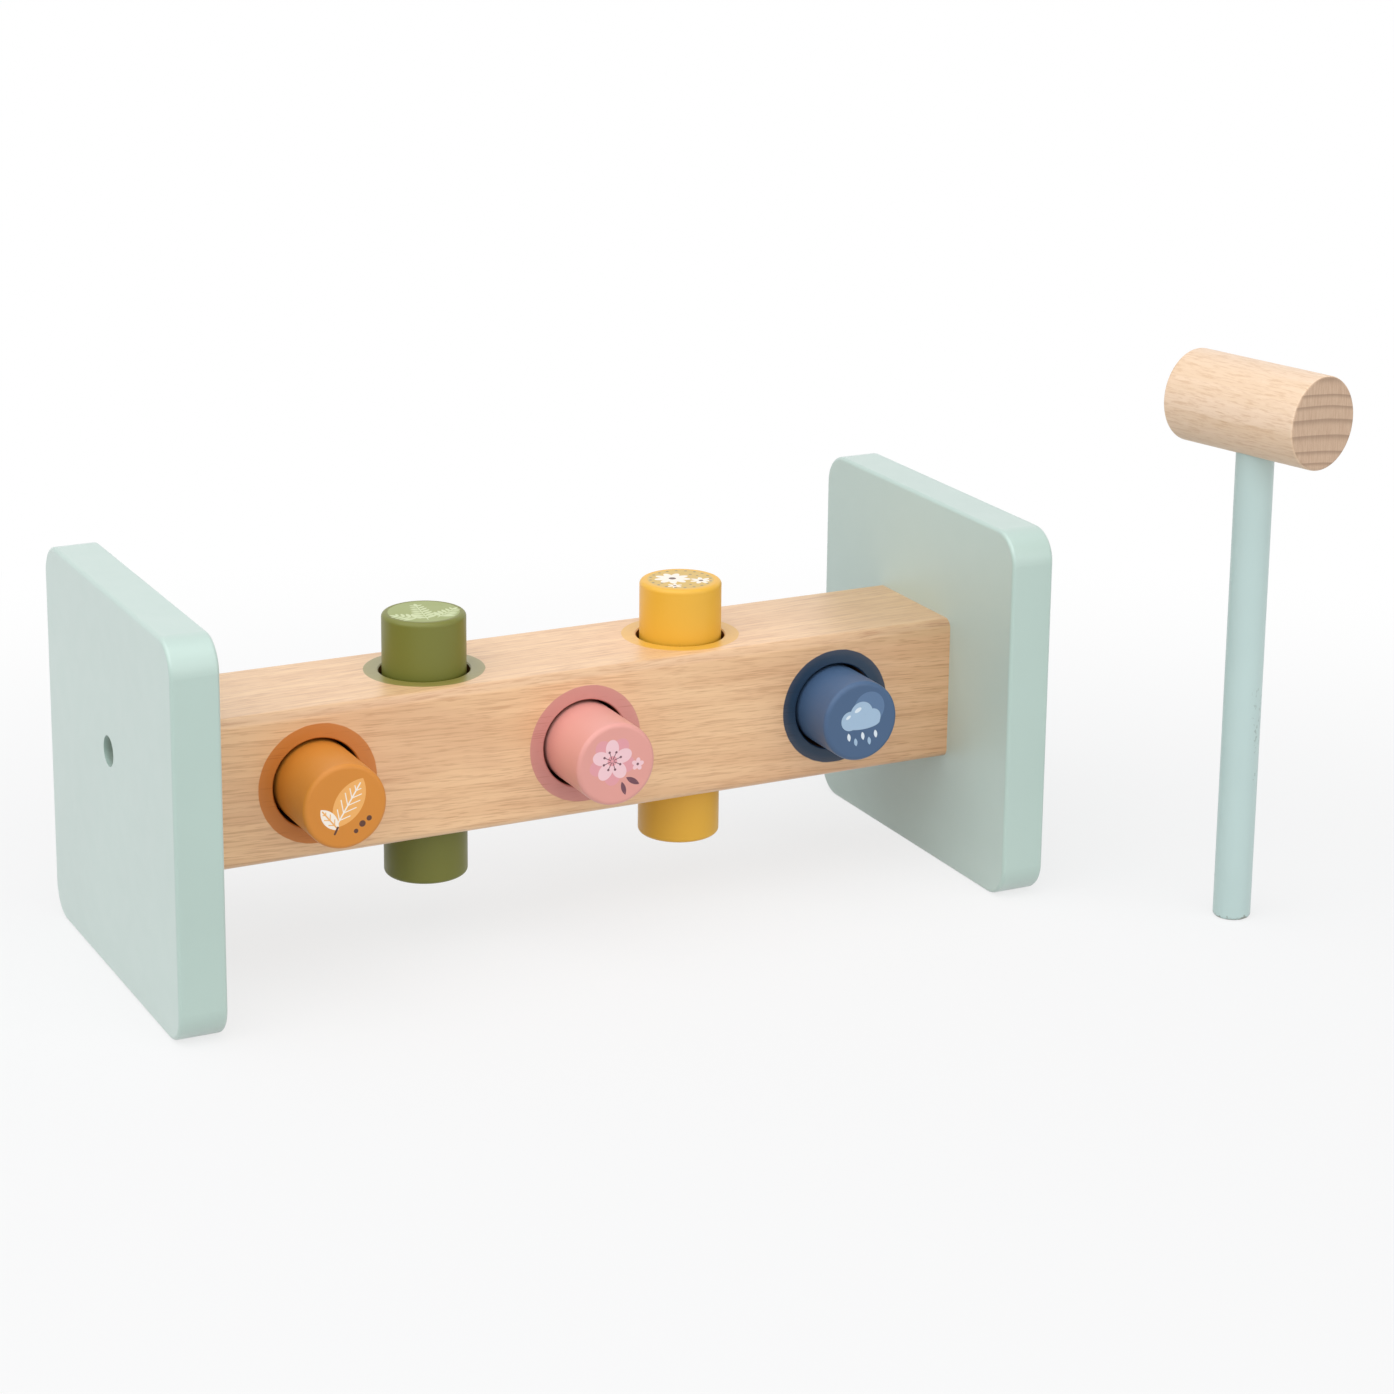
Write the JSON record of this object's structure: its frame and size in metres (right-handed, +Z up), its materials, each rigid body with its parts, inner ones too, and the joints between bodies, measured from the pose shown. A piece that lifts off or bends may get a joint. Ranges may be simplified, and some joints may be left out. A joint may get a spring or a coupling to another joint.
{
  "type": "peg pounding bench",
  "caption": "Wooden toy bench: a square beam between two end boards, with painted pegs that a mallet drives back and forth through it.",
  "frame": {"origin": "on the floor, in the middle of the whole set's footprint (bench and standing mallet)", "axes": "+Z up, +X along the beam towards the mallet's end, -Y towards the player, whose side the level pegs' printed ends face"},
  "size_m": [0.2994, 0.1598, 0.1515],
  "materials": {
    "mint_paint": "satin mint paint on wood",
    "beech": "clear-lacquered beech",
    "bare_beech": "fine-sanded bare beech",
    "orange_paint": "satin orange paint on wood",
    "pink_paint": "satin pink paint on wood",
    "blue_paint": "satin dark blue paint on wood",
    "green_paint": "satin olive green paint on wood",
    "yellow_paint": "satin yellow paint on wood",
    "steel": "zinc-plated steel",
    "rubber": "black rubber"
  },
  "bodies": {
    "bench": {"left_board": "mint_paint", "right_board": "mint_paint", "beam": "beech", "left_screw": "steel", "right_screw": "steel", "left_upper_dowel": "bare_beech", "left_lower_dowel": "bare_beech", "right_upper_dowel": "bare_beech", "right_lower_dowel": "bare_beech"},
    "orange": {"orange_peg": "orange_paint", "orange_grip_ring": "rubber"},
    "pink": {"pink_peg": "pink_paint", "pink_grip_ring": "rubber"},
    "blue": {"blue_peg": "blue_paint", "blue_grip_ring": "rubber"},
    "green": {"green_peg": "green_paint", "green_grip_ring": "rubber"},
    "yellow": {"yellow_peg": "yellow_paint", "yellow_grip_ring": "rubber"},
    "mallet": {"mallet_head": "bare_beech", "mallet_handle": "mint_paint"}
  },
  "joints": [
    {"name": "orange_peg_slide", "type": "slide", "parent": "bench", "child": "orange", "axis": [0, 1, 0], "range_m": [-0.0122, 0.0193]},
    {"name": "pink_peg_slide", "type": "slide", "parent": "bench", "child": "pink", "axis": [0, 1, 0], "range_m": [-0.0127, 0.0188]},
    {"name": "blue_peg_slide", "type": "slide", "parent": "bench", "child": "blue", "axis": [0, 1, 0], "range_m": [-0.017, 0.0145]},
    {"name": "green_peg_slide", "type": "slide", "parent": "bench", "child": "green", "axis": [0, 0, -1], "range_m": [-0.0162, 0.015]},
    {"name": "yellow_peg_slide", "type": "slide", "parent": "bench", "child": "yellow", "axis": [0, 0, -1], "range_m": [-0.0164, 0.0148]},
    {"name": "mallet_lift", "type": "slide", "parent": "bench", "child": "mallet", "axis": [0, 0, 1], "range_m": [0, 0.12]}
  ]
}
